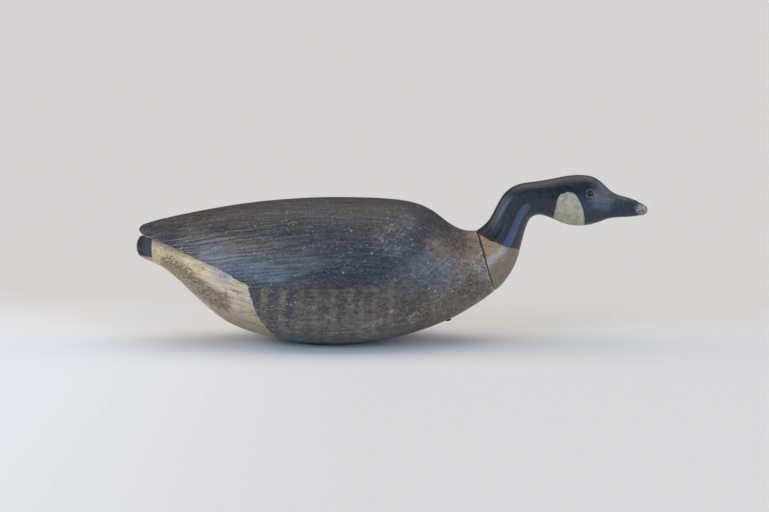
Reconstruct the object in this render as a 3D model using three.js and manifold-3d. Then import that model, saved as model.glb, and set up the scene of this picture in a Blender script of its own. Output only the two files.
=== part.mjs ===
// A carved wooden goose decoy: a body, a head and neck joined on at a leaning seam,
// two bead eyes and a tack under the breast for the anchor line.
// Millimetres. +X points to the bill, +Y to the goose's left, +Z up.
// The origin is the middle of the small flat that the body rests on.

import * as THREE from "three";
import { LoftGeometry } from "three/addons/geometries/LoftGeometry.js";
import { mergeVertices } from "three/addons/utils/BufferGeometryUtils.js";
import Module from "manifold-3d";

// Body
const BODY_LENGTH = 519; // from the tip of the tail to the foot of the neck joint
const BODY_DEPTH = 209.4; // from the resting flat to the highest point of the back
const BODY_BREADTH = 250; // across the widest part
const REST_SHARE = 0.5555; // where the body rests, as a share of its length from the tail
const REST_SINK = 1.2; // how much of the rounded keel is planed away to make the flat

// Joint between the body and the neck
const JOINT_HEIGHT = 91.6;
const JOINT_BREADTH = 78;
const JOINT_TILT = (16.2 * Math.PI) / 180; // its top leans back to the tail
const JOINT_GAP = 0.3;
const LEAN_FROM = 0.62; // the body's sections stand upright behind this share of its length

// Carved wing tips over the tail
const TAIL_ROUND = 30; // how far from its end the tail starts to round in, seen from above
const PADDLE_NOSE = 11.3; // how far the tail's end stands past the notch under the wing tips
const WING_NOSE = 7.3; // how far the wing tips stand past the same notch
const WING_NOSE_POINT = 1.5; // power of the tips' outline from the side: near 1 is a wedge, 2 is round
const WING_NOSE_SWELL = 0.7; // power that fills that wedge out near the back and the edge
const WING_STEP = 5; // depth of the step under the wing's edge
const WING_LIP = 1.2; // height of the step's face
const WING_LIP_SPREAD = 3; // how much taller that band is where the step has faded out
const WING_GROOVE = 2.4; // depth of the groove between the wing tips

// Head and neck, measured from the foot of the joint
const HEAD_REACH = 222; // forward to the tip of the bill
const HEAD_RISE = 171.3; // up to the crown
const HEAD_BREADTH = 53; // across the cheeks
const NECK_RIDGE = 2.2; // height of the carved ridge on each side of the neck's root
const BILL_NOSE = 11.1; // length of the bill's rounded tip
const BILL_ROUND = 1.6; // how far before that tip the bill starts to round in, seen from above
const BILL_DROOP = 0.4; // under 1, the tip's foremost point is below the middle
const BILL_POINT = 1.6; // power of the tip's outline from the side: near 1 is a wedge, 2 is round

// Eyes and their sockets
const EYE_DIAMETER = 8.4;
const EYE_SINK = 2.2; // from the head's surface down to the middle of the bead
const EYE_FORWARD = 136.5; // from the foot of the joint
const EYE_HEIGHT = 143.9; // from the foot of the joint
const EYE_GAP = 0.3;
const EYE_SIDES = 16;

// Tack for the anchor line
const TACK_SHARE = 0.876; // where it is, as a share of the body's length from the tail
const TACK_HEAD = 8;
const TACK_HEAD_THICKNESS = 2;
const TACK_SHANK = 2.8;
const TACK_LENGTH = 16; // from under the head to the point
const TACK_POINT = 4;
const TACK_SIDES = 12;
const TACK_RIM = 0.6; // share of the head's thickness at its rim
const TACK_CROWN = 0.6; // share of the head's breadth that is flat on top
const TACK_GAP = 0.3;

// Steps of the meshes
const TAIL_RINGS = 6;
const BODY_RINGS = 42;
const WING_STEPS = 13; // down one side, from the back to the wing's edge
const FLANK_STEPS = 13; // on down to the keel
const HEAD_RINGS_PER_ROW = 1.5;
const BILL_RINGS = 4;
const HEAD_STEPS = 16; // down one side of the neck and head

// Shares of the body's length from the tail, each with a share of its depth.
const BACK = [
  [0.022, 0.812],
  [0.066, 0.844],
  [0.15, 0.89],
  [0.268, 0.944],
  [0.402, 0.982],
  [0.536, 1],
  [0.67, 0.993],
  [0.754, 0.974],
  [0.804, 0.938],
  [0.838, 0.891],
  [0.871, 0.826],
  [0.905, 0.779],
  [0.93, 0.766],
];
const KEEL = [
  [0.022, 0.585],
  [0.066, 0.539],
  [0.111, 0.456],
  [0.156, 0.349],
  [0.2, 0.249],
  [0.245, 0.163],
  [0.312, 0.087],
  [0.379, 0.045],
  [0.458, 0.01],
  [0.555, 0],
  [0.653, 0.017],
  [0.737, 0.051],
  [0.815, 0.105],
  [0.894, 0.185],
  [0.961, 0.281],
  [1, 0.349],
];

// The same shares of length, each with a share of the breadth.
const BREADTH = [
  [0.02, 0.33],
  [0.08, 0.38],
  [0.17, 0.56],
  [0.27, 0.74],
  [0.37, 0.875],
  [0.46, 0.96],
  [0.555, 1],
  [0.65, 0.99],
  [0.75, 0.91],
  [0.81, 0.81],
  [0.87, 0.65],
  [0.92, 0.5],
  [0.96, 0.385],
];

// How high up each section its widest level lies, and how square it is above and below that.
const LEVEL = [
  [0.02, 0.52],
  [0.15, 0.5],
  [0.35, 0.44],
  [0.8, 0.43],
  [1, 0.47],
];
const SQUARE_ABOVE = [
  [0.02, 2.1],
  [0.5, 2.2],
  [1, 2.05],
];
const SQUARE_BELOW = [
  [0.02, 2.2],
  [0.3, 2.3],
  [0.55, 2.5],
  [0.8, 2.3],
  [1, 2.05],
];

// How high up each section the wing's edge runs, and how much of its step is left.
const WING_EDGE = [
  [0.022, 0.69],
  [0.045, 0.652],
  [0.083, 0.58],
  [0.13, 0.545],
  [0.18, 0.53],
  [0.22, 0.515],
  [0.26, 0.475],
  [0.31, 0.41],
  [0.4, 0.37],
  [0.8, 0.38],
  [1, 0.44],
];
const WING_DEPTH = [
  [0.022, 0.8],
  [0.08, 1],
  [0.15, 0.95],
  [0.2, 0.75],
  [0.25, 0.45],
  [0.3, 0.2],
  [0.35, 0.05],
  [0.4, 0],
];
// The distance below the edge over which the recess comes back out to the flank.
const WING_RUN = [
  [0.022, 7],
  [0.08, 14],
  [0.2, 32],
];

// Nape and throat of the neck, then crown and chin of the head, then top and underside of the bill.
// Each row holds the upper and the lower point, as shares of reach and rise, and a share of the breadth.
const HEAD_ROWS = [
  [-0.085, 0.542, 0.052, 0.049, 1.3],
  [-0.036, 0.599, 0.142, 0.224, 1.04],
  [0.003, 0.695, 0.18, 0.436, 0.9],
  [0.046, 0.802, 0.218, 0.594, 0.85],
  [0.105, 0.88, 0.26, 0.642, 0.85],
  [0.19, 0.918, 0.307, 0.646, 0.88],
  [0.288, 0.932, 0.363, 0.621, 0.93],
  [0.392, 0.959, 0.438, 0.579, 0.98],
  [0.497, 0.985, 0.52, 0.554, 1],
  [0.601, 0.984, 0.608, 0.56, 0.93],
  [0.654, 0.962, 0.657, 0.576, 0.83],
  [0.693, 0.927, 0.693, 0.592, 0.71],
  [0.726, 0.886, 0.726, 0.609, 0.62],
  [0.758, 0.847, 0.758, 0.62, 0.56],
  [0.797, 0.817, 0.797, 0.626, 0.53],
  [0.85, 0.799, 0.85, 0.629, 0.51],
  [0.902, 0.779, 0.902, 0.632, 0.5],
  [0.943, 0.758, 0.943, 0.64, 0.46],
];
// For each row counted from the joint: widest level, squareness above and below it.
const HEAD_FORM = [
  [0, 0.47, 2.05, 2.05],
  [2, 0.5, 2.5, 2.3],
  [4, 0.5, 2.5, 2.4],
  [6, 0.5, 2.15, 2.2],
  [8, 0.46, 2.1, 2.3],
  [11, 0.42, 2, 2.4],
  [14, 0.4, 2.1, 2.8],
  [18, 0.42, 2.2, 2.8],
];
// For each row: how far down the section the neck's ridge runs, and the share of its height left.
const RIDGE = [
  [0, 0.53, 0.1],
  [1, 0.56, 0.6],
  [2, 0.63, 1],
  [3, 0.75, 1],
  [4, 0.81, 0.7],
  [6, 0.84, 0],
];
const RIDGE_WIDTH = 0.07; // share of the section's height over which it falls away

const OUTSIDE = 1000; // where rays toward the wood start, clear of the whole decoy

const wasm = await Module();
wasm.setup();

// A smooth curve through rows of [at, value, ...], level past both ends.
function profile(rows) {
  const size = rows[0].length - 1;
  const at = rows.map((row) => row[0]);
  const values = rows.flatMap((row) => row.slice(1));
  const curve = new THREE.CubicInterpolant(at, values, size);
  return (place) => [...curve.evaluate(place)];
}

// Even steps from one value up to, but not including, another.
function steps(from, to, count) {
  return Array.from({ length: count }, (_, i) => from + ((to - from) * i) / count);
}

const scaled = (rows, factor) => rows.map(([at, value]) => [at, value * factor]);

// The height share and half-breadth share of a section at an angle from its top.
function outline(form, angle) {
  const above = angle < Math.PI / 2;
  const power = 2 / (above ? form.squareAbove : form.squareBelow);
  const lift = Math.abs(Math.cos(angle)) ** power;
  const height = above ? form.level + (1 - form.level) * lift : form.level * (1 - lift);
  return { height, out: Math.abs(Math.sin(angle)) ** power };
}

// The angle at which a section reaches a height share.
function angleAt(form, height) {
  if (height > form.level) {
    const lift = (height - form.level) / (1 - form.level);
    return Math.acos(lift ** (form.squareAbove / 2));
  }
  const drop = (form.level - height) / form.level;
  return Math.PI - Math.acos(drop ** (form.squareBelow / 2));
}

// A closed ring of points from the points down one side: the other side mirrors them.
function ring(side) {
  side[0].y = 0;
  side.at(-1).y = 0;
  const mirrored = side.slice(1, -1).map((p) => new THREE.Vector3(p.x, -p.y, p.z));
  return [...side, ...mirrored.reverse()];
}

// Turns a closed geometry into a solid that can be cut.
function solid(geometry) {
  const bare = new THREE.BufferGeometry();
  bare.setAttribute("position", geometry.attributes.position);
  bare.setIndex(geometry.index);
  const merged = mergeVertices(bare);
  const mesh = new wasm.Mesh({
    numProp: 3,
    vertProperties: new Float32Array(merged.attributes.position.array),
    triVerts: new Uint32Array(merged.index.array),
  });
  return new wasm.Manifold(mesh);
}

// Turns a solid back into a geometry.
function shape(cut) {
  const mesh = cut.getMesh();
  const geometry = new THREE.BufferGeometry();
  geometry.setAttribute("position", new THREE.BufferAttribute(mesh.vertProperties, 3));
  geometry.setIndex(new THREE.BufferAttribute(mesh.triVerts, 1));
  geometry.computeVertexNormals();
  return geometry;
}

function piece(name, geometry, look) {
  const mesh = new THREE.Mesh(geometry, new THREE.MeshStandardMaterial(look));
  mesh.name = name;
  return mesh;
}

// Places of the joint's foot and top, shared by the body and the neck.
const tailTip = -REST_SHARE * BODY_LENGTH;
const keelHeight = profile(scaled(KEEL, BODY_DEPTH));
const jointFoot = new THREE.Vector3(tailTip + BODY_LENGTH, 0, keelHeight(1)[0]);
const jointUp = new THREE.Vector3(-Math.sin(JOINT_TILT), 0, Math.cos(JOINT_TILT));
const jointForward = new THREE.Vector3(Math.cos(JOINT_TILT), 0, Math.sin(JOINT_TILT));
const jointTop = jointFoot.clone().addScaledVector(jointUp, JOINT_HEIGHT);

// Body
const backHeight = profile([
  ...scaled(BACK, BODY_DEPTH),
  [(jointTop.x - tailTip) / BODY_LENGTH, jointTop.z],
]);
const halfBreadth = profile([
  ...scaled(BREADTH, BODY_BREADTH / 2),
  [1, JOINT_BREADTH / 2],
]);
const level = profile(LEVEL);
const squareAbove = profile(SQUARE_ABOVE);
const squareBelow = profile(SQUARE_BELOW);
const wingEdge = profile(WING_EDGE);
const wingDepth = profile(scaled(WING_DEPTH, WING_STEP));
const wingRun = profile(WING_RUN);

// How far the pointed wing tips and the round end of the tail stand past the notch between them.
function tailNose(height, edge) {
  if (height > edge) {
    const across = Math.min(1, Math.abs((2 * height - 1 - edge) / (1 - edge)));
    return WING_NOSE * (1 - across ** WING_NOSE_POINT) ** WING_NOSE_SWELL;
  }
  const across = Math.min(1, Math.abs((2 * height - edge) / edge));
  return PADDLE_NOSE * Math.sqrt(1 - across ** 2);
}

// One section of the body. turn is 0 at the tail's very end and a right angle past its rounding.
function bodyRing(distance, turn) {
  const share = distance / BODY_LENGTH;
  const leanShare = Math.max(0, (share - LEAN_FROM) / (1 - LEAN_FROM));
  const lean = (jointFoot.x - jointTop.x) * leanShare ** 2;
  const foot = new THREE.Vector3(tailTip + distance, 0, keelHeight(share)[0] - REST_SINK);
  const topShare = (distance - lean) / BODY_LENGTH;
  const top = new THREE.Vector3(foot.x - lean, 0, backHeight(topShare)[0]);
  const form = {
    level: level(share)[0],
    squareAbove: squareAbove(share)[0],
    squareBelow: squareBelow(share)[0],
  };
  const half = halfBreadth(share)[0];
  const edge = wingEdge(share)[0];
  const edgeAngle = angleAt(form, edge);
  const chord = top.distanceTo(foot);
  const depth = wingDepth(share)[0];
  const lip = (WING_LIP + WING_LIP_SPREAD * (1 - depth / WING_STEP)) / chord;
  const underAngle = angleAt(form, edge - lip);
  const angles = [
    ...steps(0, edgeAngle, WING_STEPS),
    edgeAngle,
    ...steps(underAngle, Math.PI, FLANK_STEPS),
    Math.PI,
  ];
  const side = angles.map((angle, i) => {
    const { height, out } = outline(form, angle);
    const below = Math.max(0, edge - lip - height) * chord;
    const recess = i > WING_STEPS ? depth * Math.exp(-below / wingRun(share)[0]) : 0;
    const point = foot.clone().lerp(top, height);
    point.x -= tailNose(height, edge) * Math.cos(turn);
    point.y = -(half * out - recess * Math.min(1, out)) * Math.sin(turn);
    point.z = Math.max(0, point.z);
    return point;
  });
  side[0].z -= WING_GROOVE * Math.min(1, depth / WING_STEP);
  return ring(side);
}

function bodyShape() {
  const start = PADDLE_NOSE;
  const rounded = start + TAIL_ROUND;
  const rings = [];
  for (const turn of steps(0, Math.PI / 2, TAIL_RINGS)) {
    rings.push(bodyRing(start + TAIL_ROUND * (1 - Math.cos(turn)), turn));
  }
  for (const distance of steps(rounded, BODY_LENGTH, BODY_RINGS)) {
    rings.push(bodyRing(distance, Math.PI / 2));
  }
  rings.push(bodyRing(BODY_LENGTH, Math.PI / 2));
  return new LoftGeometry(rings, { capEnd: true });
}

// Head and neck
const headBase = jointFoot.clone().addScaledVector(jointForward, JOINT_GAP);
const headRows = HEAD_ROWS.map(([upX, upZ, lowX, lowZ, breadth], i) => [
  i + 1,
  headBase.x + upX * HEAD_REACH,
  headBase.z + upZ * HEAD_RISE,
  headBase.x + lowX * HEAD_REACH,
  headBase.z + lowZ * HEAD_RISE,
  (breadth * HEAD_BREADTH) / 2,
]);
const neckRoot = headBase.clone().addScaledVector(jointUp, JOINT_HEIGHT);
const headPlace = profile([
  [0, neckRoot.x, neckRoot.z, headBase.x, headBase.z, JOINT_BREADTH / 2],
  ...headRows,
]);
const headForm = profile(HEAD_FORM);
const ridgePlace = profile(RIDGE);

// One section of the neck, head or bill. turn is 0 at the bill's tip and a right angle before its rounding.
function headRing(row, turn, ahead) {
  const [topX, topZ, footX, footZ, half] = headPlace(row);
  const top = new THREE.Vector3(topX, 0, topZ);
  const foot = new THREE.Vector3(footX, 0, footZ);
  const [headLevel, above, below] = headForm(row);
  const form = { level: headLevel, squareAbove: above, squareBelow: below };
  const [ridgeDown, ridgeLeft] = ridgePlace(row);
  const side = [...steps(0, Math.PI, HEAD_STEPS), Math.PI].map((angle) => {
    const { height, out } = outline(form, angle);
    const away = (1 - height - ridgeDown) / RIDGE_WIDTH;
    const ridge = NECK_RIDGE * ridgeLeft * Math.exp(-away * away);
    const fromTip = Math.abs(2 * height ** BILL_DROOP - 1);
    const nose = BILL_NOSE * Math.max(0, 1 - fromTip ** BILL_POINT) ** (1 / BILL_POINT);
    const point = foot.clone().lerp(top, height);
    point.x += ahead + nose * Math.cos(turn);
    point.y = -(half * out + ridge * out) * Math.sin(turn);
    return point;
  });
  return ring(side);
}

function headShape() {
  const last = HEAD_ROWS.length;
  const rings = [];
  for (const row of steps(0, last, Math.round(last * HEAD_RINGS_PER_ROW))) {
    rings.push(headRing(row, Math.PI / 2, 0));
  }
  for (const turn of [...steps(Math.PI / 2, 0, BILL_RINGS), 0]) {
    rings.push(headRing(last, turn, BILL_ROUND * Math.cos(turn)));
  }
  return new LoftGeometry(rings, { capStart: true });
}

// Where a ray from outside meets a shape, with the way that its surface faces there.
function surfaceAt(geometry, from, toward) {
  const target = new THREE.Mesh(geometry, new THREE.MeshBasicMaterial({ side: THREE.DoubleSide }));
  const hit = new THREE.Raycaster(from, toward).intersectObject(target)[0];
  const normal = hit.face.normal.clone();
  return { point: hit.point, normal: normal.dot(toward) > 0 ? normal.negate() : normal };
}

// Eyes
const bareHead = headShape();

function eyePlace(side) {
  const from = new THREE.Vector3(jointFoot.x + EYE_FORWARD, side * OUTSIDE, jointFoot.z + EYE_HEIGHT);
  const { point, normal } = surfaceAt(bareHead, from, new THREE.Vector3(0, -side, 0));
  return point.addScaledVector(normal, -EYE_SINK);
}

const eyePlaces = { left: eyePlace(1), right: eyePlace(-1) };

function ball(diameter, place) {
  const bead = new THREE.SphereGeometry(diameter / 2, EYE_SIDES, EYE_SIDES / 2 + 2);
  return bead.translate(place.x, place.y, place.z);
}

function headNeckShape() {
  let wood = solid(bareHead);
  for (const place of Object.values(eyePlaces)) {
    wood = wood.subtract(solid(ball(EYE_DIAMETER + 2 * EYE_GAP, place)));
  }
  return shape(wood);
}

// Tack
const bareBody = bodyShape();
const tackFrom = new THREE.Vector3(tailTip + TACK_SHARE * BODY_LENGTH, 0, -OUTSIDE);
const tackPlace = surfaceAt(bareBody, tackFrom, new THREE.Vector3(0, 0, 1));

// A turned shape on the tack's own axis, with its profile given as [radius, distance out of the wood].
function turned(points) {
  const profilePoints = points.map(([radius, out]) => new THREE.Vector2(radius, out));
  const axis = new THREE.Vector3(tackPlace.normal.x, 0, tackPlace.normal.z).normalize();
  const turn = new THREE.Quaternion().setFromUnitVectors(new THREE.Vector3(0, 1, 0), axis);
  const { x, y, z } = tackPlace.point;
  return new THREE.LatheGeometry(profilePoints, TACK_SIDES).applyQuaternion(turn).translate(x, y, z);
}

function tackShape() {
  const under = TACK_GAP;
  const shank = TACK_SHANK / 2;
  return turned([
    [0, under - TACK_LENGTH],
    [shank, under - TACK_LENGTH + TACK_POINT],
    [shank, under],
    [TACK_HEAD / 2, under],
    [TACK_HEAD / 2, under + TACK_HEAD_THICKNESS * TACK_RIM],
    [(TACK_HEAD / 2) * TACK_CROWN, under + TACK_HEAD_THICKNESS],
    [0, under + TACK_HEAD_THICKNESS],
  ]);
}

function bodyWithHole() {
  const hole = TACK_SHANK / 2 + TACK_GAP;
  const bottom = -TACK_LENGTH;
  const cutter = turned([
    [0, bottom],
    [hole, bottom + TACK_POINT],
    [hole, TACK_HEAD],
    [0, TACK_HEAD],
  ]);
  return shape(solid(bareBody).subtract(solid(cutter)));
}

// The decoy
const decoy = new THREE.Group();
decoy.add(
  piece("body", bodyWithHole(), { color: 0x55565c, roughness: 0.62, metalness: 0 }),
  piece("head_neck", headNeckShape(), { color: 0x2c2c30, roughness: 0.55, metalness: 0 }),
  piece("eye_left", ball(EYE_DIAMETER, eyePlaces.left), { color: 0x0a0a0c, roughness: 0.08, metalness: 0 }),
  piece("eye_right", ball(EYE_DIAMETER, eyePlaces.right), { color: 0x0a0a0c, roughness: 0.08, metalness: 0 }),
  piece("line_tie_tack", tackShape(), { color: 0x3a3532, roughness: 0.7, metalness: 0.8 }),
);

export default decoy;
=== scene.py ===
# Looks of a carved and painted wooden goose decoy, in metres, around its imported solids.
# +X points to the bill, +Y to the goose's left, +Z up. Both sides are carved and painted alike.

from math import copysign, cos, exp, hypot, pi, radians, sin

import bmesh
import bpy
import numpy as np
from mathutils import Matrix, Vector
from mathutils.bvhtree import BVHTree


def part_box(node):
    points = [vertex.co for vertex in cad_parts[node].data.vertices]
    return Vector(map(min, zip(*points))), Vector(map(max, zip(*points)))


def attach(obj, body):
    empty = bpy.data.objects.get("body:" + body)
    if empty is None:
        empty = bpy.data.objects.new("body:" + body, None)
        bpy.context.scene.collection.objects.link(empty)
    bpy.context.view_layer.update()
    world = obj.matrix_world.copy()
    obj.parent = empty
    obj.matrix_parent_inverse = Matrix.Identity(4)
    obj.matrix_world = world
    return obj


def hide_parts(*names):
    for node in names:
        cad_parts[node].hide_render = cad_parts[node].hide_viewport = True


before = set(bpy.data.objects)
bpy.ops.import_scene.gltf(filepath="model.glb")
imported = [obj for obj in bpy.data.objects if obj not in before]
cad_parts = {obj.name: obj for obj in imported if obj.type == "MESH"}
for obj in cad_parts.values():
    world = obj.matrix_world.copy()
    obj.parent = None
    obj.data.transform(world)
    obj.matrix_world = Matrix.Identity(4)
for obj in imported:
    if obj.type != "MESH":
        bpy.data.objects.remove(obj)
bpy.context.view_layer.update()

MM = 0.001

# Camera, as the photograph was taken: from the goose's right and a little above
LENS = 100
CAMERA_HEIGHT_ANGLE = 7
CAMERA_DISTANCE = 3.1
CAMERA_AIM = Vector((0.0718, 0, 0.12366))

# Seam between the body and the neck, in millimetres
JOINT_FOOT = Vector((230.7, 0, 73.1))
JOINT_TILT = radians(16.2)
JOINT_FORWARD = Vector((cos(JOINT_TILT), 0, sin(JOINT_TILT)))
SEAM_ROUND = 0.4

# The body's cage: its columns from the ridge down each side, the splits of a face, its points' notes
EDGE_COLUMN = 13
KEEL_COLUMN = 26
SPLIT_ROUND = 12
SPLIT_ALONG = 3
COLUMN_NOTES = "column", "wing_girth", "flank_girth"

# Sizes for the brush strokes, in millimetres: from the back to the wing's edge, and the neck's radius
WIDEST_FAN = 150
NECK_RADIUS = 22

# What is one point, what is on the seam, and what belongs to the tack's bore or an eye's socket
MERGED_WITHIN = 0.02
SEAM_WITHIN = 0.5
BORE_RADIUS = 1.8
BORE_PAST = 6
SOCKET_ROOM = 0.5

# Relief in the wood and paint, in millimetres. Lumps are rows of a size, a height and a seed
COMB_PITCH = 4.8
COMB_SPREAD = 0.65
COMB_DEPTH = 0.34
COMB_LENGTH = 75
RUMP_PITCH = 3.6
RUMP_RAKE = radians(17)
RUMP_RISE = 9
TOOL_DEPTH = 0.32
DENT_DEPTH = 0.55
NICK_DEPTH = 1.1
NICK_REACH = 2.2
BODY_LUMPS = [(70, 0.55, 21), (28, 0.3, 24)]
HEAD_LUMPS = [(34, 0.4, 61), (14, 0.16, 64)]
HEAD_TOOL_DEPTH = 0.3

# Eyes: the ring of putty round each, the hollow inside it, and how far round them the mesh is made finer
EYE_SINK = 2.2
EYE_RING, EYE_RING_WIDTH, EYE_RING_HEIGHT = 5.2, 1.15, 0.75
EYE_RING_MIDDLE = (367, 216)
EYE_HOLLOW, EYE_HOLLOW_EDGE = 0.7, (4.6, 3.2)
EYE_FINER = (8, 7)

# The bill's worn tip: where the wear starts and where it is full, and how much it adds or takes off
TIP_FROM, TIP_TOP_FROM = (436, 447), (434, 446)
TIP_MIDDLE, TIP_SWELL, TIP_SWELL_WIDTH = 194, 2.6, 4.6
TIP_UNDER, TIP_UNDER_WEAR = (188.5, 184), 3
TIP_TOP, TIP_TOP_WEAR = (197, 204), 2.2

# Half of the tack's head from its crown out and round to the shank, as (radius, distance from the crown)
TACK_PROFILE = [
    (0, 0), (0.9, -0.04), (1.8, -0.16), (2.6, -0.38), (3.2, -0.66), (3.7, -1.02), (3.95, -1.35),
    (4.0, -1.62), (3.85, -1.85), (3.4, -1.98), (2.4, -2.0), (1.2, -2.0), (0, -2.0),
]
# How far the shank ends below the crown, its radius there and at the point, and how proud the head stands
TACK_HEAD = 1.5
TACK_SHANK = 1.75
TACK_TIP = 0.3
TACK_PROUD = 1.7
TACK_BLOWS = [(2.6, 0.35, 71)]

# Bead: steps from front to back and round, the seam of its mould, and how flat it is in front
BEAD_STEPS = 30
BEAD_ROUND = 48
BEAD_SEAM = 0.08
BEAD_FLATNESS = 0.9

# The rump's front edge, as (height, forward) from the keel up, and the front of the tail's black
RUMP_FRONT = [
    (0, -78), (20.1, -87.1), (33.5, -97), (48.4, -107.3), (71.4, -114.7), (83.8, -117.3), (97.9, -121.5),
    (160, -106),
]
TAIL_END = -261.8

# Other boundaries, as points of the side view: forward from the origin and up, in millimetres
WING_PAINT = [(-121, 91), (-60, 93), (10, 96), (62, 98), (92, 108), (108, 120), (125, 136)]
BAR_PLACES = [-97.5, -72, -48, -25, -2, 22, 39, 58, 80]
BAR_WIDTHS = [6.5, 6, 6.5, 5.5, 6.5, 6, 5, 5, 6]
NECK_PAINT = [
    (204.6, 159.6), (213.5, 155), (223.2, 149.6), (231.4, 147.2), (238, 143.8), (246.4, 140.5),
    (257.4, 137.8), (267.6, 135.5),
]
NECK_RIDGE = [
    (190, 104), (212.3, 114.3), (222, 121.5), (233.3, 127.7), (242.1, 135.9), (249.3, 144.4), (258, 160),
]
CHEEK = [
    (341.5, 218.4), (334.4, 219.1), (324.7, 216), (321.1, 211.3), (318.9, 204.1), (316.7, 193.2),
    (314.7, 181.3), (314.3, 172), (316, 160), (360.6, 160), (360, 170.9), (359.4, 180.9), (356.8, 193.3),
    (352.3, 205.3), (347.5, 213.7),
]
BREAST_EDGE = [
    (168, 195), (168, 158), (150, 151), (141, 146), (150, 133), (160, 120), (154, 95), (135, 72), (110, 52),
    (85, 30), (85, -20), (260, -20), (260, 195),
]
MOUTH = [(378, 190), (395, 188.6), (420, 188.9), (444, 190.4)]
NECK_GROOVE = [(260, 200.2), (255, 194.4), (249.3, 171.5), (243.6, 148.7)]
NECK_FOLD = [(272.3, 194.4), (269.9, 186.5), (256.3, 161.4), (249.9, 141.5)]
# Places of the body and of the head, worn, stained, tinted or with painted sheen or shade: a line through
# each, and how far it reaches from that line
BODY_PLACES = {
    "grimy": ([(-236, 118), (-226, 110), (-212, 101), (-195, 87), (-176, 74), (-160, 68)], 21),
    "blue_tint_and_sheen": ([(-178, 127), (-150, 120), (-90, 114), (-30, 114)], 26),
    "silvered_and_sheen": ([(-204, 150), (-182, 145), (-131, 139), (-103, 137), (-46, 140), (40, 143)], 38),
    "edge_glint": ([(-182, 130), (-160, 123), (-138, 118), (-117, 115), (-96, 113), (-78, 112)], 18),
    "scuffed": ([(64, 160), (84, 170), (101, 176), (99, 152), (80, 146)], 20),
    "shoulder_sheen": ([(132, 120), (144, 104), (156, 112)], 30),
    "slashed": ([(128, 108), (142, 114), (156, 122)], 15),
    "rubbed": ([(-262, 163), (-225, 152), (-185, 146), (-140, 150), (-90, 160)], 26),
    "patch": ([(203, 120), (212, 114), (217, 98)], 12),
    "creamy": ([(-256, 145), (-240, 138), (-220, 128), (-200, 118), (-186, 112)], 17),
    "lilac": ([(-174, 123), (-163, 111), (-153, 102)], 11),
    "tongue": ([(140, 146), (152, 138), (162, 128), (166, 116)], 17),
}
HEAD_PLACES = {
    "ridge_light": ([(240, 134), (247, 143), (255, 157), (262, 173), (268, 187), (276, 197)], 7.5),
    "nape_light": ([(224, 156), (232, 165), (241, 179), (249, 193), (259, 207)], 7),
    "neck_shade_band": ([(238, 148), (249, 160), (257, 176), (264, 193), (273, 207), (285, 213)], 10),
    "lore_sheen": ([(367, 200), (377, 204), (389, 197)], 13),
    "brow_rub_and_sheen": ([(372, 238), (385, 228), (400, 214), (414, 208)], 11),
    "bill_wear": ([(442, 193), (448, 193), (455, 191)], 11),
    "ridge_highlight_and_wear": ([(213, 113), (223, 121), (233, 128), (243, 137)], 7),
}
# The middle of the neck and head, from the seam to the bill
CENTRELINE = [
    (210, 100), (217.9, 117), (227, 126), (238, 140), (247, 158), (254, 176), (262, 192), (273, 202),
    (287, 206), (303, 206), (323, 205), (344, 205), (365, 204), (384, 200.5), (400, 198), (440, 193),
    (456, 191),
]

# Thin marks, from one point to another, and their breadth
HAIRLINE = (-168, 51.5), (-110, 55.1), 1.2
SCRATCH = (-105, 64.3), (-58, 68.8), 0.9
EYE_STROKE = (337, 224), (359, 221), 2.4
MOUTH_LINE = (380, 189), (446, 190.4), 1.0

# Paints, as sRGB colours
SLATE, SLATE_DARK, SLATE_PALE, SLATE_WARM = "#3a3b3f", "#121317", "#8b867f", "#4b443e"
SLATE_NAVY, SLATE_BLUE, SLATE_SILVER, HATCH_AND_SHEEN_PALE = "#2b3240", "#4e5864", "#988b7d", "#9097a4"
FLANK, FLANK_OLIVE, FLANK_BAR, FLANK_BROWN = "#4b4640", "#675b4b", "#8b7b61", "#75644f"
BREAST, BREAST_PALE, BREAST_WARM, BREAST_DARK = "#655b51", "#857663", "#a28162", "#3b342d"
RUMP_WHITE, RUMP_CREAM, RUMP_PALE, RUMP_LINE = "#cfba9c", "#ebc893", "#f4ead4", "#85785f"
RUMP_TAN, RUMP_OLIVE, RUMP_GRIME, RUMP_DIRT = "#a88f6a", "#91846a", "#77593a", "#33261b"
RUMP_SHADE, RUMP_LILAC, SEAM_PALE = "#6c5836", "#a89ba3", "#b5a794"
TAIL_BLACK, TAIL_SHINE, BARE_WOOD, PALE_FLECK = "#111416", "#66696a", "#ad9482", "#d2ccc0"
NECK_BROWN, NECK_MAUVE, NECK_PALE, NECK_TAN = "#7b6d58", "#756a66", "#b4adab", "#947757"
HEAD_BLACK, HEAD_BLUE, HEAD_SHEEN, HEAD_OLIVE = "#0a0e14", "#1f2d3d", "#485c74", "#22241d"
BROW_RUB_AND_SHEEN, BILL_WOOD, BILL_WORN = "#60605f", "#857569", "#cbbcb2"
CHEEK_WHITE, CHEEK_GREY, CHEEK_OCHRE, CHEEK_PALE = "#aca088", "#838074", "#a58a60", "#c9c1a9"
NECK_OCHRE, RING_FLECK_AND_GLINT = "#b6946a", "#a9b0b9"
IRON_DARK, IRON_RUST = "#0d0a09", "#2f1f17"


def smooth(low, high, value):
    share = np.clip((value - low) / (high - low), 0, 1)
    return share * share * (3 - 2 * share)


def random_heights(u, v, seed, size=256):
    """Smooth random heights from 0 to 1 over a plane, with one draw for each unit square."""
    draws = np.random.default_rng(seed).random((size, size))
    i, j = np.floor(u).astype(int), np.floor(v).astype(int)
    s, t = smooth(0, 1, u - i), smooth(0, 1, v - j)
    i, j, k, m = i % size, j % size, (i + 1) % size, (j + 1) % size
    near, far = (draws[i, n] * (1 - s) + draws[k, n] * s for n in (j, m))
    return near * (1 - t) + far * t


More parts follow.
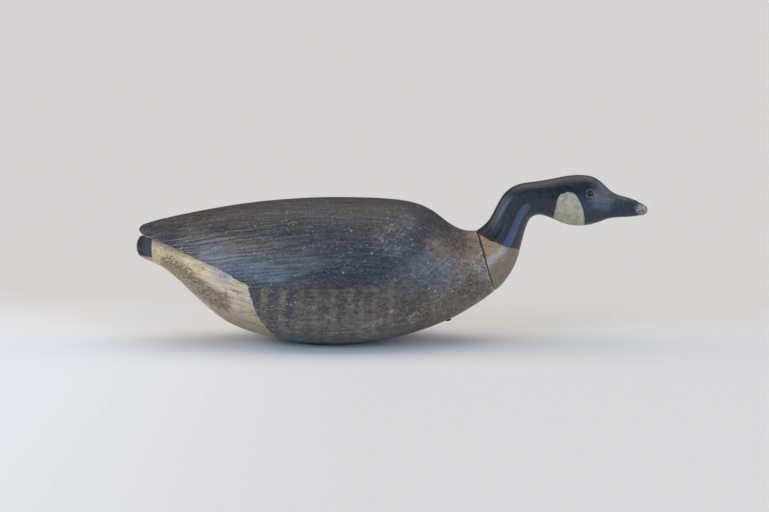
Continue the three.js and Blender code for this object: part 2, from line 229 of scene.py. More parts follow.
def random_lumps(places, lumps):
    """Smooth random heights through space, the sum of rows of a size, a height and a seed."""
    heights = 0
    for size, height, seed in lumps:
        x, y, z = places / size
        planes = [(x, z), (y, x + 31.7), (z, y + 17.3)]
        waves = sum(random_heights(u, v, seed + n) * 2 - 1 for n, (u, v) in enumerate(planes))
        heights = heights + waves / len(planes) * height
    return heights


def along_line(points, x, z):
    """How far along a line of side-view points each (x, z) lies, and how far off it is."""
    nearest = np.full(x.shape, np.inf)
    along = np.zeros(x.shape)
    gone = 0.0
    for (x0, z0), (x1, z1) in zip(points, points[1:]):
        length = hypot(x1 - x0, z1 - z0)
        share = np.clip(((x - x0) * (x1 - x0) + (z - z0) * (z1 - z0)) / length**2, 0, 1)
        away = np.hypot(x - x0 - share * (x1 - x0), z - z0 - share * (z1 - z0))
        along = np.where(away < nearest, gone + share * length, along)
        nearest = np.minimum(nearest, away)
        gone += length
    return along, nearest


def inside_by(points, x, z):
    """How far inside a closed outline each (x, z) lies, negative outside it."""
    away = along_line(points + points[:1], x, z)[1]
    inside = np.zeros(x.shape, bool)
    for (x0, z0), (x1, z1) in zip(points, points[1:] + points[:1]):
        crosses = (z0 > z) != (z1 > z)
        rise = z1 - z0 if z1 != z0 else 1.0
        inside ^= crosses & (x < x0 + (z - z0) * (x1 - x0) / rise)
    return np.where(inside, away, -away)


def above_line(points, x, z):
    """How far above an open line each (x, z) lies, negative below it."""
    height = np.interp(x, *zip(*points))
    return np.sign(z - height) * np.minimum(along_line(points, x, z)[1], np.abs(z - height))


# Meshes


def merged_copy(node):
    """A CAD node's mesh as a cage, with room for its creases and the numbers of its columns."""
    cage = bmesh.new()
    cage.from_mesh(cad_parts[node].data)
    cage.edges.layers.float.new("crease_edge")
    for name in COLUMN_NOTES:
        cage.verts.layers.float.new(name)
    bmesh.ops.remove_doubles(cage, verts=cage.verts, dist=MERGED_WITHIN * MM)
    return cage


def joined(cage):
    bmesh.ops.join_triangles(
        cage, faces=cage.faces, angle_face_threshold=radians(60), angle_shape_threshold=pi
    )


def close_hole(cage, bored):
    """Takes a bored hole's points out of the cage and closes the skin over it. Returns the new face."""
    bmesh.ops.delete(cage, geom=bored, context="VERTS")
    rim = [edge for edge in cage.edges if edge.is_boundary]
    return bmesh.ops.contextual_create(cage, geom=rim)["faces"][0]


def on_seam(element):
    """Whether all points of a face or an edge lie in the plane of the seam."""
    return all(abs((v.co - JOINT_FOOT * MM).dot(JOINT_FORWARD)) < SEAM_WITHIN * MM for v in element.verts)


def close_joint_face(cage):
    """Makes the flat face at the seam one face, and creases its rim."""
    face = bmesh.ops.dissolve_faces(cage, faces=[f for f in cage.faces if on_seam(f)])["region"][0]
    for edge in face.edges:
        edge[cage.edges.layers.float["crease_edge"]] = 1


def edges_round(cage, start):
    """Whether each edge of a four-sided face runs round the piece, by steps from the face nearest start."""
    squares = [face for face in cage.faces if len(face.verts) == 4]
    first = min(squares, key=lambda face: (face.calc_center_median() - start).length)
    known = max(first.edges, key=lambda e: abs(e.verts[0].co.x - e.verts[1].co.x))
    runs_round = {known: False}
    waiting, done = [(first, known)], set()
    while waiting:
        face, known = waiting.pop()
        if face in done:
            continue
        done.add(face)
        sides = list(face.edges)
        at = sides.index(known)
        for turn, edge in enumerate(sides):
            runs_round.setdefault(edge, runs_round[known] == ((turn - at) % 2 == 0))
            waiting += [(f, edge) for f in edge.link_faces if len(f.verts) == 4]
    return runs_round


def number_columns(cage, runs_round):
    """Writes on each point its column, and the lengths from ridge to wing's edge and on to the keel."""
    column, wing, flank = (cage.verts.layers.float[name] for name in COLUMN_NOTES)
    for vert in cage.verts:
        vert[column], vert[wing], vert[flank] = KEEL_COLUMN, WIDEST_FAN, WIDEST_FAN
    top = [max(cage.verts, key=lambda v: v.co.z)]
    ridge = set(top)
    while top:
        vert = top.pop()
        for edge in vert.link_edges:
            other = edge.other_vert(vert)
            if runs_round.get(edge) is False and other not in ridge and abs(other.co.y) < MM:
                ridge.add(other)
                top.append(other)
    for start in ridge:
        start[column] = 0
        for edge in [e for e in start.link_edges if runs_round.get(e)]:
            chain, onward = [start], edge
            while onward is not None and len(chain) <= KEEL_COLUMN:
                chain.append(onward.other_vert(chain[-1]))
                ahead = [e for e in chain[-1].link_edges if runs_round.get(e) and e is not onward]
                onward = ahead[0] if ahead else None
            steps = [(a.co - b.co).length / MM for a, b in zip(chain, chain[1:])]
            for place, vert in enumerate(chain):
                vert[column] = place
                vert[wing] = start[wing] = sum(steps[:EDGE_COLUMN])
                vert[flank] = start[flank] = sum(steps[EDGE_COLUMN:])


def crease_wing(cage, runs_round):
    """Creases the wing's edge and the foot of the step under it, where the step is deep."""
    crease, column = cage.edges.layers.float["crease_edge"], cage.verts.layers.float["column"]
    for edge in cage.edges:
        places = {round(v[column]) for v in edge.verts}
        if runs_round.get(edge) is False and places <= {EDGE_COLUMN, EDGE_COLUMN + 1} and len(places) == 1:
            bend = edge.calc_face_angle(0)
            edge[crease] = min(1, max(0, (bend - radians(14)) / radians(40)))


def even_splits(cage, runs_round):
    """Splits the cage into narrow strips along the body, so that fine combed lines are real relief."""
    along = [e for e in cage.edges if runs_round.get(e) is False]
    made = bmesh.ops.subdivide_edges(cage, edges=along, cuts=SPLIT_ALONG - 1)
    across = [e for e in made["geom_inner"] if isinstance(e, bmesh.types.BMEdge)]
    across += [e for e in cage.edges if runs_round.get(e) is True]
    bmesh.ops.subdivide_edges(cage, edges=list(set(across)), cuts=SPLIT_ROUND - 1)


def written(shape, name):
    mesh = bpy.data.meshes.new(name)
    shape.to_mesh(mesh)
    return mesh


def as_object(name, shape, material):
    """Writes a finished shape as an object of one material."""
    piece = bpy.data.objects.new(name, written(shape, name))
    shape.free()
    piece.data.materials.append(material)
    bpy.context.scene.collection.objects.link(piece)
    return piece


def subdivided(mesh, levels):
    """The mesh after Subdivision Surface, with its creases kept."""
    rough = bpy.data.objects.new("cage", mesh)
    bpy.context.scene.collection.objects.link(rough)
    modifier = rough.modifiers.new("smooth", "SUBSURF")
    modifier.levels = modifier.render_levels = levels
    drawn = bpy.context.evaluated_depsgraph_get()
    result = bpy.data.meshes.new_from_object(rough.evaluated_get(drawn))
    bpy.data.objects.remove(rough)
    return result


def numbers_of(elements, name, each=3):
    """The numbers that a mesh holds under a name, one row for each of its points."""
    flat = np.zeros(len(elements) * each)
    elements.foreach_get(name, flat)
    return flat.reshape(-1, each)


def note(mesh, x, z, marked_lines, **values):
    """Keeps on the mesh, for the paint, some values and how near each point is to each line of wear or
    painted light.
    """
    for name, (line, reach) in marked_lines.items():
        values[name] = smooth(reach, 0.3 * reach, along_line(line, x, z)[1])
    for name, numbers in values.items():
        kept = mesh.attributes.get(name) or mesh.attributes.new(name, "FLOAT", "POINT")
        kept.data.foreach_set("value", np.asarray(numbers, np.float32))


def finish_surface(mesh, places):
    mesh.vertices.foreach_set("co", places.ravel())
    mesh.update()
    mesh.shade_smooth()
    mesh.set_sharp_from_angle(angle=radians(42))


def soften_rim(cage):
    """Rounds the worn corner at the seam."""
    rim = [e for e in cage.edges if on_seam(e) and e.calc_face_angle(0) > radians(35)]
    bmesh.ops.bevel(
        cage, geom=rim, offset=SEAM_ROUND * MM, segments=2, profile=0.5, affect="EDGES", material=-1
    )


def tack_line():
    """The tack's point, the direction from there out through its head, and its whole length."""
    tack = numbers_of(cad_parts["line_tie_tack"].data.vertices, "co")
    point = Vector(tack[tack[:, 2].argmax()])
    crown = Vector(tack[tack[:, 2].argsort()[:3]].mean(0))
    point.y = crown.y = 0
    axis = (crown - point).normalized()
    return point, axis, max((Vector(place) - point).dot(axis) for place in tack)


def eye_ball(side):
    """The middle and the radius of an eye's solid."""
    low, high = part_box(f"eye_{side}")
    return (low + high) / 2, (high - low).x / 2


def body_shape():
    """The body's cage, closed over the tack's bore and drawn onto its smooth skin in fine strips."""
    cage = merged_copy("body")
    point, axis, _ = tack_line()
    bored = []
    for vert in cage.verts:
        out = (vert.co - point).dot(axis)
        if out > -BORE_PAST * MM and (vert.co - point - out * axis).length < BORE_RADIUS * MM:
            bored.append(vert)
    close_hole(cage, bored)
    joined(cage)
    close_joint_face(cage)
    runs_round = edges_round(cage, Vector((0, -0.125, 0.09)))
    number_columns(cage, runs_round)
    crease_wing(cage, runs_round)
    smooth_mesh = subdivided(written(cage, "body_smooth"), 3)
    skin = BVHTree.FromPolygons(
        [v.co for v in smooth_mesh.vertices], [p.vertices for p in smooth_mesh.polygons]
    )
    even_splits(cage, runs_round)
    for vert in cage.verts:
        vert.co = skin.find_nearest(vert.co)[0]
    soften_rim(cage)
    bpy.data.meshes.remove(smooth_mesh)
    return cage


def carve_body(mesh):
    """Cuts the relief into the body and keeps the places of its paint."""
    places, normals = numbers_of(mesh.vertices, "co"), numbers_of(mesh.vertex_normals, "vector")
    x, y, z = places.T / MM
    column, wing_girth, flank_girth = (
        numbers_of(mesh.attributes[name].data, "value", 1)[:, 0] for name in COLUMN_NOTES
    )
    on_wing = column <= EDGE_COLUMN + 0.5
    fan = np.where(on_wing, column / EDGE_COLUMN, (column - EDGE_COLUMN) / (KEEL_COLUMN - EDGE_COLUMN))
    girth = np.where(on_wing, wing_girth, flank_girth)
    side = np.where(y < 0, 0, 57.0)
    from_seam = -((places / MM - np.array(JOINT_FOOT)) @ np.array(JOINT_FORWARD))

    lip = (column - EDGE_COLUMN) * girth / EDGE_COLUMN
    rump_line = np.interp(z, *zip(*RUMP_FRONT))
    rump_top = np.where(on_wing, (column - EDGE_COLUMN - 0.5) * 12, (column - EDGE_COLUMN) * 12 - 4)
    rump = np.minimum(rump_line - x, rump_top + RUMP_RISE * smooth(-235, -140, x))

    # combed lines: they spread from the tail, less than the wing does, so that some run out over its edge,
    # and they are raked downward on the rump
    lines = fan * np.maximum(girth, 8) ** COMB_SPREAD * WIDEST_FAN ** (1 - COMB_SPREAD) / COMB_PITCH
    lines = np.where(rump > 0, (x * sin(RUMP_RAKE) + z * cos(RUMP_RAKE)) / RUMP_PITCH, lines)
    wander = 1.1 * random_heights(lines / 3 + side, x / 60, 11)
    wander += 0.4 * random_heights(lines / 1.5, x / 33, 12)
    furrows = (0.5 - 0.5 * np.cos(2 * pi * (lines + wander))) ** 1.7
    furrows *= 0.55 + 0.45 * random_heights(lines + wander + side, x / 45, 14)
    strength = smooth(0.2, 0.65, random_heights(lines / 2.6 + side, x / COMB_LENGTH, 13))
    strength *= np.where(on_wing, 1, 0.45) * smooth(-2, 25, from_seam) * (1 - 0.7 * smooth(-150, -40, x))
    comb = (0.5 - furrows) * (0.18 + 0.82 * strength)

    step_left = smooth(-135, -200, x)
    uneven = random_lumps(places.T / MM, BODY_LUMPS)
    around = fan * girth
    facets = random_heights(around / 17 + side, x / 62, 31)
    facets += 0.5 * random_heights(around / 9 + side, x / 31, 32)
    dents = smooth(0.8, 0.97, random_heights(around / 7 + side, x / 7, 41)) * DENT_DEPTH
    nicks = step_left * np.exp(-((lip / NICK_REACH) ** 2)) * NICK_DEPTH
    nicks *= smooth(0.45, 0.85, random_heights(x / 6.5, side, 43))
    relief = comb * COMB_DEPTH + uneven + (facets - 0.75) * TOOL_DEPTH - dents - nicks
    relief *= smooth(-0.5, 6, from_seam)
    relief = np.where(from_seam < 0.05, 0, relief)
    worn_places = places + normals * relief[:, None] * MM
    worn_places[:, 2] = np.maximum(worn_places[:, 2], 0)
    finish_surface(mesh, worn_places)

    bars = np.zeros(x.shape)
    for centre, width in zip(BAR_PLACES, BAR_WIDTHS):
        bars += np.exp(-(((x - centre - 0.06 * (z - 60)) / width) ** 2))
    note(
        mesh, x, z, BODY_PLACES,
        fan=(lines * COMB_PITCH + np.where(on_wing, 0, 400)) * MM,
        comb=1 - furrows * (0.5 + 0.5 * strength),
        rump=rump,
        lip=np.clip(lip, -60, 60),
        flank=-above_line(WING_PAINT, x, z),
        bars=bars,
        seam=from_seam,
        breast=inside_by(BREAST_EDGE, x, z),
    )


def head_shape():
    """The head's cage, closed over the eyes' sockets, smoothed, and finer round them."""
    cage = merged_copy("head_neck")
    for side in ("left", "right"):
        centre, radius = eye_ball(side)
        socket = radius + SOCKET_ROOM * MM
        face = close_hole(cage, [v for v in cage.verts if (v.co - centre).length < socket])
        face.normal_update()
        if face.normal.y * centre.y < 0:
            face.normal_flip()
        outward = face.normal.copy()
        middle = bmesh.ops.poke(cage, faces=[face])["verts"][0]
        middle.co = centre + outward * EYE_SINK * MM
    joined(cage)
    close_joint_face(cage)
    mesh = subdivided(written(cage, "head_cage"), 3)
    cage.clear()
    cage.from_mesh(mesh)
    for side in ("left", "right"):
        centre, _ = eye_ball(side)
        for reach in EYE_FINER:
            near = [e for e in cage.edges if all((v.co - centre).length < reach * MM for v in e.verts)]
            bmesh.ops.subdivide_edges(cage, edges=near, cuts=1, use_grid_fill=True)
    soften_rim(cage)
    return cage


def carve_head(mesh):
    """Cuts the relief into the head and neck and keeps the places of their paint."""
    places, normals = numbers_of(mesh.vertices, "co"), numbers_of(mesh.vertex_normals, "vector")
    x, y, z = places.T / MM
    from_seam = (places / MM - np.array(JOINT_FOOT)) @ np.array(JOINT_FORWARD)
    along, away = along_line(CENTRELINE, x, z)
    round_by = np.arctan2(np.abs(y), away * np.sign(z - np.interp(x, *zip(*CENTRELINE[1:]))))
    eye_away = np.full(x.shape, 99.0)
    for side in ("left", "right"):
        centre = np.array(eye_ball(side)[0]) / MM
        distance = np.hypot(x - centre[0], z - centre[2])
        eye_away = np.where(y * centre[1] > 0, np.minimum(eye_away, distance), eye_away)
    uneven = random_lumps(places.T / MM, HEAD_LUMPS)
    facets = (random_heights(along / 26, round_by * 3.1 + (y > 0) * 37, 66) - 0.5) * HEAD_TOOL_DEPTH
    ring_x, ring_z = EYE_RING_MIDDLE
    ring_wear = 0.75 + 0.5 * random_heights(np.arctan2(z - ring_z, x - ring_x) * 2, y * 0, 68)
    ring = EYE_RING_HEIGHT * ring_wear * np.exp(-(((eye_away - EYE_RING) / EYE_RING_WIDTH) ** 2))
    hollow = EYE_HOLLOW * smooth(*EYE_HOLLOW_EDGE, eye_away)
    mouth, groove, fold = (
        depth * np.exp(-((along_line(line, x, z)[1] / width) ** 2))
        for line, depth, width in ((MOUTH, 0.45, 1.1), (NECK_GROOVE, 1.5, 5.5), (NECK_FOLD, 1.1, 5))
    )
    mouth *= smooth(374, 392, x) * smooth(448, 441, x)
    relief = (uneven + facets) * smooth(0.3, 7, from_seam) * smooth(7.5, 11, eye_away)
    relief += fold - groove + ring - hollow - mouth
    relief = np.where(from_seam < 0.4, 0, relief)
    carved = places + normals * relief[:, None] * MM
    # the bill's tip, worn round: fuller in the middle, with its upper and lower corners gone
    swell = TIP_SWELL * np.exp(-(((z - TIP_MIDDLE) / TIP_SWELL_WIDTH) ** 2))
    carved[:, 0] += smooth(*TIP_FROM, x) * (swell - TIP_UNDER_WEAR * smooth(*TIP_UNDER, z)) * MM
    carved[:, 2] -= smooth(*TIP_TOP_FROM, x) * TIP_TOP_WEAR * smooth(*TIP_TOP, z) * MM
    finish_surface(mesh, carved)

    note(
        mesh, x, z, HEAD_PLACES,
        along=along * MM,
        round_by=round_by * NECK_RADIUS * MM,
        black=above_line(NECK_PAINT, x, z),
        ridge=above_line(NECK_RIDGE, x, z),
        cheek=inside_by(CHEEK, x, z),
        eye=eye_away,
        seam=from_seam,
    )


# Materials


def linear(colour):
    """An sRGB hex colour as the linear colour that a shader wants."""
    parts = [int(colour[i : i + 2], 16) / 255 for i in (1, 3, 5)]
    return tuple(p / 12.92 if p <= 0.04045 else ((p + 0.055) / 1.055) ** 2.4 for p in parts) + (1,)


def add(tree, kind, inputs=(), **settings):
    """Adds a node, sets it, and fills its inputs with values or with other nodes' outputs."""
    made = tree.nodes.new("ShaderNode" + kind)
    for name, value in settings.items():
        setattr(made, name, value)
    for socket, value in dict(inputs).items():
        source = value.outputs[0] if isinstance(value, bpy.types.Node) else value
        if isinstance(source, bpy.types.NodeSocket):
            tree.links.new(source, made.inputs[socket])
        else:
            made.inputs[socket].default_value = source
    return made


def new_material(name):
    """A material with its empty node tree and the place of each point on the piece."""
    material = bpy.data.materials.new(name)
    material.use_nodes = True
    tree = material.node_tree
    tree.nodes.clear()
    return material, tree, add(tree, "TexCoord").outputs["Object"]


def grain(tree, at, sizes, detail=2.0, shift=0.0):
    """Random tones whose patches have these sizes along the three coordinates, in millimetres."""
    scale = tuple(1 / (size * MM) for size in sizes)
    moved = add(tree, "Mapping", {"Vector": at, "Location": (shift,) * 3, "Scale": scale})
    return add(tree, "TexNoise", {"Vector": moved, "Scale": 1.0, "Detail": detail, "Roughness": 0.6})


def ragged_edge(tree, measure, low, high, tones, by):
    """From 0 to 1 as a measure goes from low to high, with an edge made ragged by tones."""
    centred = add(tree, "Math", {0: tones, 1: 0.5}, operation="SUBTRACT")
    ragged = add(tree, "Math", {0: centred, 1: by, 2: measure}, operation="MULTIPLY_ADD")
    return add(tree, "MapRange", {0: ragged, 1: low, 2: high}, interpolation_type="SMOOTHSTEP")


def paint_coats(tree, first, coats):
    """Lays coats over a first colour: each is its colour, its share, and the masks that bound it."""
    colour = linear(first)
    for coat, where, *masks in coats:
        for mask in masks:
            where = add(tree, "Math", {0: where, 1: mask}, operation="MULTIPLY")
        over = linear(coat) if isinstance(coat, str) else coat
        colour = add(tree, "MixRGB", {0: where, 1: colour, 2: over})
    return colour


def raised(tree, value, parts):
    """Adds to a value each of some tones times its amount."""
    for tones, amount in parts:
        value = add(tree, "Math", {0: tones, 1: amount, 2: value}, operation="MULTIPLY_ADD")
    return value


def surface(tree, colour, roughness, shine, heights, **settings):
    """The finished surface, with bump from (tones, millimetres) pairs."""
    bump = add(tree, "Bump", {"Height": raised(tree, 0.0, heights), "Distance": MM, "Strength": 1.0})
    paint = {"Base Color": colour, "Roughness": roughness, "Specular IOR Level": shine, "Normal": bump}
    shader = add(tree, "BsdfPrincipled", {**paint, **settings})
    add(tree, "OutputMaterial", {"Surface": shader})


def chipped(tree, at, cell, size, share):
    """Small marks, at most one in each cell of that many millimetres, with a size in cells."""
    cells = add(tree, "Mapping", {"Vector": at, "Scale": (1 / (cell * MM),) * 3})
    marks = add(tree, "TexVoronoi", {"Vector": cells, "Scale": 1.0})
    chance, strength, _ = add(tree, "SeparateColor", {0: marks.outputs["Color"]}).outputs
    mark = add(tree, "MapRange", {0: marks.outputs["Distance"], 1: size, 2: 0.45 * size})
    kept = add(tree, "Math", {0: chance, 1: share}, operation="LESS_THAN")
    faint = add(tree, "MapRange", {0: strength, 1: 0.0, 2: 1.0, 3: 0.25, 4: 1.0})
    shown = add(tree, "Math", {0: mark, 1: kept}, operation="MULTIPLY")
    return add(tree, "Math", {0: shown, 1: faint}, operation="MULTIPLY")


def straight_mark(tree, x, z, start, end, width):
    """A thin mark between two points of the side view, in millimetres, seen on both sides."""
    (x0, z0), (x1, z1) = start, end
    slope = (z1 - z0) / (x1 - x0)
    across = add(tree, "Math", {0: x, 1: -slope, 2: z}, operation="MULTIPLY_ADD")
    limits = (across, z0 - slope * x0, width / 2), (x, (x0 + x1) / 2, abs(x1 - x0) / 2)
    beside, between = (
        add(tree, "Math", {0: value, 1: middle * MM, 2: reach * MM}, operation="COMPARE")
        for value, middle, reach in limits
    )
    return add(tree, "Math", {0: beside, 1: between}, operation="MULTIPLY")


# Oil paint on white cedar, combed while wet and long weathered: dark furrows and paler ridges fan out
# from the tail, the ridges are rubbed to a low gloss, and handling has chipped pale flecks out of it.
# Painted light in this colour: bluish sheen and glints along the lower wing and on the shoulder, painted
# shade over the rear of the wing, and a painted shadow under the wing's edge on the rump.
def body_paint():
    material, tree, place = new_material("combed oil paint on white cedar")
    x, y, z = add(tree, "SeparateXYZ", {0: place}).outputs
    (
        fan, comb, rump, lip, flank, bars, breast, seam,
        grimy, blue_tint_and_sheen, silvered_and_sheen, edge_glint, scuffed, shoulder_sheen, slashed, rubbed, patch, creamy, lilac, tongue,
    ) = (add(tree, "Attribute", attribute_name=name).outputs["Fac"] for name in [
        "fan", "comb", "rump", "lip", "flank", "bars", "breast", "seam", *BODY_PLACES,
    ])
    combed = add(tree, "CombineXYZ", {0: fan, 1: x, 2: y})
    clouds = grain(tree, place, (90, 60, 60), 3)
    patches = grain(tree, place, (28, 20, 15), 4, 3.7)
    blotches = grain(tree, place, (9, 8, 6), 3, 8.3)
    specks = grain(tree, place, (3.6, 3, 2.6), 2, 9.1)
    strokes = grain(tree, combed, (4.2, 60, 200), 3)
    hairs = grain(tree, combed, (1.9, 48, 100), 2, 5.3)
    smears = grain(tree, combed, (8, 26, 60), 4, 2.2)
    sweep = add(tree, "Mapping", {"Vector": place, "Rotation": (0, radians(40), 0)})
    slashes = grain(tree, sweep, (40, 30, 1.9), 2, 6.6)
    scribbles = grain(tree, sweep, (10, 8, 1.4), 2, 9.6)

    jitter = grain(tree, place, (2.0, 1.5, 1.4), 1, 15.7)
    shift = {0: jitter.outputs["Color"], 1: (0.0045,) * 3, 2: place}
    shaken = add(tree, "VectorMath", shift, operation="MULTIPLY_ADD")
    big_chips = chipped(tree, shaken, 11, 0.17, 0.5)
    small_chips = chipped(tree, shaken, 5.5, 0.22, 0.4)
    crumbs = chipped(tree, shaken, 3.4, 0.34, 0.45)
    pits = chipped(tree, shaken, 6.5, 0.2, 0.4)

    (
        warm, mottle, stain, clustered,
        blotched, dark_blotch, speckled, dark_speck,
        pale_stroke, dark_stroke, pale_hair, dark_hair,
        dark_smear, slash, dark_slash, scribble,
        furrow, crest, high, below,
        forward, rearward, fresh_bars, rear_wing_shade, tip_part,
    ) = (add(tree, "MapRange", {0: tones, 1: low, 2: high}) for tones, low, high in [
        (clouds, 0.46, 0.6), (patches, 0.4, 0.6), (patches, 0.52, 0.36), (patches, 0.53, 0.62),
        (blotches, 0.44, 0.62), (blotches, 0.5, 0.36), (specks, 0.5, 0.64), (specks, 0.48, 0.34),
        (strokes, 0.52, 0.66), (strokes, 0.5, 0.36), (hairs, 0.52, 0.66), (hairs, 0.46, 0.34),
        (smears, 0.5, 0.38), (slashes, 0.52, 0.62), (slashes, 0.48, 0.4), (scribbles, 0.53, 0.63),
        (comb, 0.72, 0.3), (comb, 0.85, 1.0), (z, 0.122, 0.142), (lip, 0.2, 1.4),
        (x, -0.15, -0.03), (x, 0.0, -0.07), (x, -0.05, -0.065), (x, -0.14, -0.22), (x, -0.235, -0.272),
    ])
    lined = add(tree, "MapRange", {0: x, 1: 0.0, 2: -0.17, 3: 0.5, 4: 1.0})
    fading = add(tree, "MapRange", {0: x, 1: 0.03, 2: -0.16, 3: 0.1, 4: 1.0})
    tail_edge = (TAIL_END + 0.6) * MM, (TAIL_END - 0.6) * MM
    (
        silver, on_flank, bar,
        bar_tops, low_half, on_breast,
        collar, above_chest, nape,
        low, on_rump, belly,
        on_wing, tailward, cream,
        shaded, tan_wash, grime,
        grime_core, tail_end, tail_shine,
        tail_foot, lip_wear, tip_wear,
        seam_dirt, seam_above, seam_rub,
    ) = (ragged_edge(tree, *row) for row in [
        (silvered_and_sheen, 0.1, 1.8, smears, 1.3), (flank, -4, 9, blotches, 30), (bars, 0.2, 0.9, blotches, 1.2),
        (z, 0.052, 0.07, blotches, 0.04), (z, 0.1, 0.055, patches, 0.04), (breast, -8, 9, blotches, 18),
        (x, 0.168, 0.195, blotches, 0.05), (z, 0.092, 0.13, patches, 0.05), (x, 0.2, 0.18, patches, 0.02),
        (z, 0.062, 0.03, patches, 0.05), (rump, -0.6, 0.6, blotches, 9), (z, 0.08, 0.035, patches, 0.06),
        (lip, 0.9, -0.3, specks, 0.6), (x, -0.18, -0.225, patches, 0.08), (creamy, 0.1, 0.8, blotches, 2.6),
        (lip, 15, 7, blotches, 12), (grimy, 0.1, 0.6, patches, 1.8), (grimy, 0.2, 1, blotches, 4.4),
        (grimy, 0.5, 1.2, smears, 4.4), (x, *tail_edge, specks, 0.001), (x, -0.278, -0.271, specks, 0.012),
        (z, 0.1272, 0.1242, specks, 0.006), (lip, -3.4, -0.8, specks, 4), (x, -0.264, -0.284, specks, 0.03),
        (seam, 1.5, 0.4, specks, 0.8), (z, 0.08, 0.1, specks, 0.02), (seam, 7, 1.5, specks, 9),
    ])
    hairline = straight_mark(tree, x, z, *HAIRLINE)
    scratch = straight_mark(tree, x, z, *SCRATCH)

    rump_colour = paint_coats(tree, RUMP_WHITE, [
        (RUMP_CREAM, 0.6, tailward), (RUMP_CREAM, 0.9, cream),
        (RUMP_TAN, 0.5, tailward, dark_blotch), (RUMP_TAN, 0.7, tan_wash),
        (RUMP_LINE, 0.5, dark_stroke),
        (RUMP_PALE, 0.5, pale_hair),
        (RUMP_OLIVE, 0.5, stain),
        (RUMP_TAN, 0.35, belly),
        (RUMP_OLIVE, 0.35, belly, mottle), (RUMP_OLIVE, 0.3, belly),
        (RUMP_LINE, 0.42, dark_hair),
        (RUMP_LILAC, 0.4, lilac), (RUMP_LILAC, 0.45, lilac, blotched),
        (RUMP_GRIME, 0.66, grime),
        (RUMP_DIRT, 0.6, grime_core, dark_smear), (RUMP_DIRT, 0.25, grime_core),
        (RUMP_DIRT, 0.75, grime, dark_speck),
        (RUMP_OLIVE, 0.5, tan_wash, stain),
        (RUMP_WHITE, 0.6, grimy, blotched, speckled),
        (RUMP_CREAM, 0.6, cream, speckled),
        (RUMP_PALE, 0.5, cream, crumbs), (RUMP_PALE, 0.7, tan_wash, crumbs, mottle),
        (RUMP_PALE, 0.6, small_chips),
        (RUMP_DIRT, 0.45, hairline, blotched),
        (RUMP_SHADE, 0.55, shaded, tailward),
    ])
    tail_colour = paint_coats(tree, TAIL_BLACK, [
        (TAIL_SHINE, 0.3, tail_shine), (TAIL_SHINE, 0.35, pale_hair), (RUMP_WHITE, 0.62, tail_foot),
    ])
    colour = paint_coats(tree, SLATE, [
        (SLATE_WARM, 0.6, warm),
        (SLATE_DARK, 0.5, stain),
        (SLATE_NAVY, 0.7, mottle, forward),
        # partly bluish paint and partly painted sheen: a blue-grey band along the lower wing
        (SLATE_BLUE, 0.7, blue_tint_and_sheen, mottle), (SLATE_BLUE, 0.3, blue_tint_and_sheen),
        # painted shade: the rear of the wing made darker, where the light gives it little reflection
        (SLATE_DARK, 0.42, rear_wing_shade),
        # partly weathered paler paint and partly painted sheen: a silver-grey veil over the lower wing
        (SLATE_SILVER, 0.72, silver, fading), (SLATE_SILVER, 0.4, silver, fading, pale_hair),
        # painted glint: a pale blue band along the lower edge of the wing
        (HATCH_AND_SHEEN_PALE, 0.34, edge_glint),
        (SLATE_DARK, 0.5, dark_stroke, lined),
        (SLATE_PALE, 0.25, pale_stroke, lined), (SLATE_PALE, 0.3, rubbed, pale_hair),
        (FLANK, 0.9, on_flank),
        (FLANK_OLIVE, 0.5, on_flank, blotched),
        (SLATE_NAVY, 0.35, on_flank, stain),
        (FLANK_BROWN, 0.5, on_flank, low_half, mottle),
        (SLATE_NAVY, 0.5, on_flank, rearward),
        (FLANK_BAR, 0.3, on_flank, bar), (FLANK_BAR, 0.5, on_flank, bar, fresh_bars, bar_tops),
        (SLATE_PALE, 0.24, low), (SLATE_PALE, 0.34, low, blotched),
        (BREAST, 0.9, on_breast),
        (BREAST_PALE, 0.5, on_breast, blotched),
        (BREAST_DARK, 0.42, on_breast, stain),
        (BREAST_WARM, 0.55, on_breast, collar, above_chest),
        (BREAST_DARK, 0.7, on_breast, nape, high),
        (BREAST_PALE, 0.7, tongue, mottle),
        (BREAST_WARM, 0.5, tongue, speckled),
        (BREAST_PALE, 0.4, on_breast, speckled),
        (BREAST_DARK, 0.4, on_breast, dark_speck),
        (SLATE_DARK, 0.22, dark_blotch),
        # painted sheen: a bluish haze on the shoulder
        (SLATE_BLUE, 0.5, shoulder_sheen),
        (HATCH_AND_SHEEN_PALE, 0.18, shoulder_sheen, blotched),
        (SLATE_DARK, 0.8, furrow, lined), (SLATE_DARK, 0.42, dark_hair),
        (SLATE_PALE, 0.3, crest, pale_hair, lined), (SLATE_PALE, 0.18, speckled),
        (SLATE_DARK, 0.25, dark_speck),
        (HATCH_AND_SHEEN_PALE, 0.32, slashed, slash),
        (SLATE_DARK, 0.4, slashed, dark_slash),
        (SLATE_PALE, 0.1, scuffed),
        (PALE_FLECK, 0.45, scuffed, scribble, blotched),
        (PALE_FLECK, 0.35, low_half, on_flank, scribble, clustered),
        (SLATE_DARK, 0.6, pits),
        (PALE_FLECK, 0.2, big_chips), (PALE_FLECK, 0.6, big_chips, mottle),
        (PALE_FLECK, 0.4, small_chips), (PALE_FLECK, 0.72, crumbs, clustered),
        (PALE_FLECK, 0.7, crumbs, on_flank, low_half, blotched), (PALE_FLECK, 0.4, scratch, speckled),
        (rump_colour, 1.0, on_rump),
        (tail_colour, 1.0, tail_end, below),
        (BARE_WOOD, 0.7, lip_wear, on_wing, tip_part), (BARE_WOOD, 0.6, on_wing, tip_wear, speckled),
        (PALE_FLECK, 0.3, seam_rub, speckled),
        (SEAM_PALE, 0.35, patch, mottle), (SEAM_PALE, 0.35, patch, speckled),
        (SLATE_DARK, 0.9, seam_dirt, seam_above),
    ])
